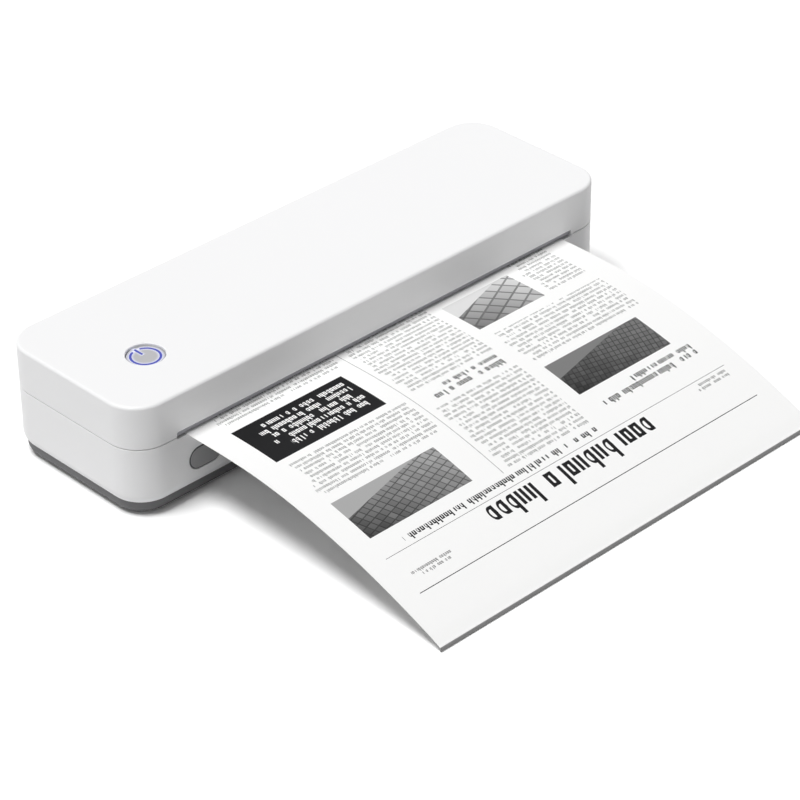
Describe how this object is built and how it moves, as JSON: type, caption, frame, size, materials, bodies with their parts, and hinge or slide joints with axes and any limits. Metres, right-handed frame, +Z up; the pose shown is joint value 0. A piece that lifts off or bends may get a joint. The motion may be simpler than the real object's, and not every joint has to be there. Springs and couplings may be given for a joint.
{
  "type": "a4 portable thermal printer",
  "caption": "Portable thermal printer with a hinged cover, a roll and a printed sheet leaving its front slot.",
  "frame": {"origin": "centre of the body's footprint, on the surface that the foot ring stands on", "axes": "+X along the body towards the socket end, +Y towards the hinge at the back, +Z up"},
  "size_m": [0.262, 0.2207, 0.0505],
  "materials": {
    "case_white": "satin moulded white",
    "pan_grey": "fine matt dark grey",
    "inner_grey": "matt charcoal moulding",
    "button_grey": "satin light grey",
    "release_grey": "satin dark grey",
    "symbol_blue": "lit translucent blue",
    "rubber_black": "matt",
    "steel": "ground",
    "tear_steel": "stamped",
    "aluminium_sink": "as extruded",
    "head_ceramic": "glazed heater strip",
    "gear_white": "natural acetal",
    "brass_pin": "turned",
    "circuit_green": "solder mask",
    "chip_black": "moulded epoxy",
    "cell_wrap": "shrink wrap",
    "paper_white": "thermal coated",
    "card_brown": "wound card"
  },
  "bodies": {
    "base": {"lower_case": "case_white", "base_pan": "pan_grey", "rubber_foot": "rubber_black", "chassis": "inner_grey", "pan_screws": "steel", "board_screws": "steel", "motor_screws": "steel", "platen_bushes": "brass_pin", "idler_pin": "steel", "feed_motor": "steel", "main_board": "circuit_green", "board_chips": "chip_black", "battery_cells": "cell_wrap", "charge_board": "circuit_green", "usb_c_port": "steel", "paper_sensor": "chip_black", "hinge_pins": "steel", "release_spring": "steel", "paper_web": "paper_white"},
    "cover": {"upper_case": "case_white", "cover_liner": "inner_grey", "liner_screws": "steel", "tear_bar": "tear_steel", "head_springs": "steel", "button_board": "circuit_green", "button_switch": "chip_black"},
    "head": {"print_head": "head_ceramic", "heat_sink": "aluminium_sink", "head_connector": "chip_black"},
    "power_key": {"power_button": "button_grey", "power_symbol": "symbol_blue"},
    "release_key": {"release_button": "release_grey"},
    "platen": {"platen_shaft": "steel", "platen_rubber": "rubber_black", "platen_gear": "gear_white"},
    "idler": {"idler_gear": "gear_white"},
    "pinion": {"motor_pinion": "brass_pin", "motor_shaft": "steel"},
    "roll": {"paper_roll": "paper_white", "paper_core": "card_brown"},
    "sheet": {"paper_sheet": "paper_white"}
  },
  "joints": [
    {"name": "cover_hinge", "type": "hinge", "parent": "base", "child": "cover", "pos_m": [0, 0.04095, 0.0312], "axis": [-1, 0, 0], "range_deg": [0, 90]},
    {"name": "head_float", "type": "slide", "parent": "cover", "child": "head", "axis": [0, 0, 1], "range_m": [0, 0.0006], "stiffness_N_per_m": 3000, "deforming": ["head_springs"]},
    {"name": "power_press", "type": "slide", "parent": "cover", "child": "power_key", "axis": [0, 0, -1], "range_m": [0, 0.0008], "stiffness_N_per_m": 1500},
    {"name": "release_press", "type": "slide", "parent": "base", "child": "release_key", "axis": [0, 1, 0], "range_m": [0, 0.0015], "stiffness_N_per_m": 1200, "deforming": ["release_spring"]},
    {"name": "platen_spin", "type": "hinge", "parent": "base", "child": "platen", "pos_m": [0, -0.027, 0.0242], "axis": [1, 0, 0], "continuous": true},
    {"name": "idler_spin", "type": "hinge", "parent": "base", "child": "idler", "pos_m": [0, -0.01231, 0.02028], "axis": [1, 0, 0], "continuous": true},
    {"name": "pinion_spin", "type": "hinge", "parent": "base", "child": "pinion", "pos_m": [0, -0.0176, 0.0104], "axis": [1, 0, 0], "continuous": true},
    {"name": "roll_spin", "type": "hinge", "parent": "base", "child": "roll", "pos_m": [0, 0.016, 0.0256], "axis": [1, 0, 0], "continuous": true},
    {"name": "sheet_pull", "type": "slide", "parent": "base", "child": "sheet", "axis": [0, -1, 0], "range_m": [0, 0.04]}
  ],
  "couplings": [
    {"joint": "platen_spin", "follows": "roll_spin", "ratio": 2.7833},
    {"joint": "idler_spin", "follows": "roll_spin", "ratio": -3.0926},
    {"joint": "pinion_spin", "follows": "roll_spin", "ratio": 5.5667}
  ]
}
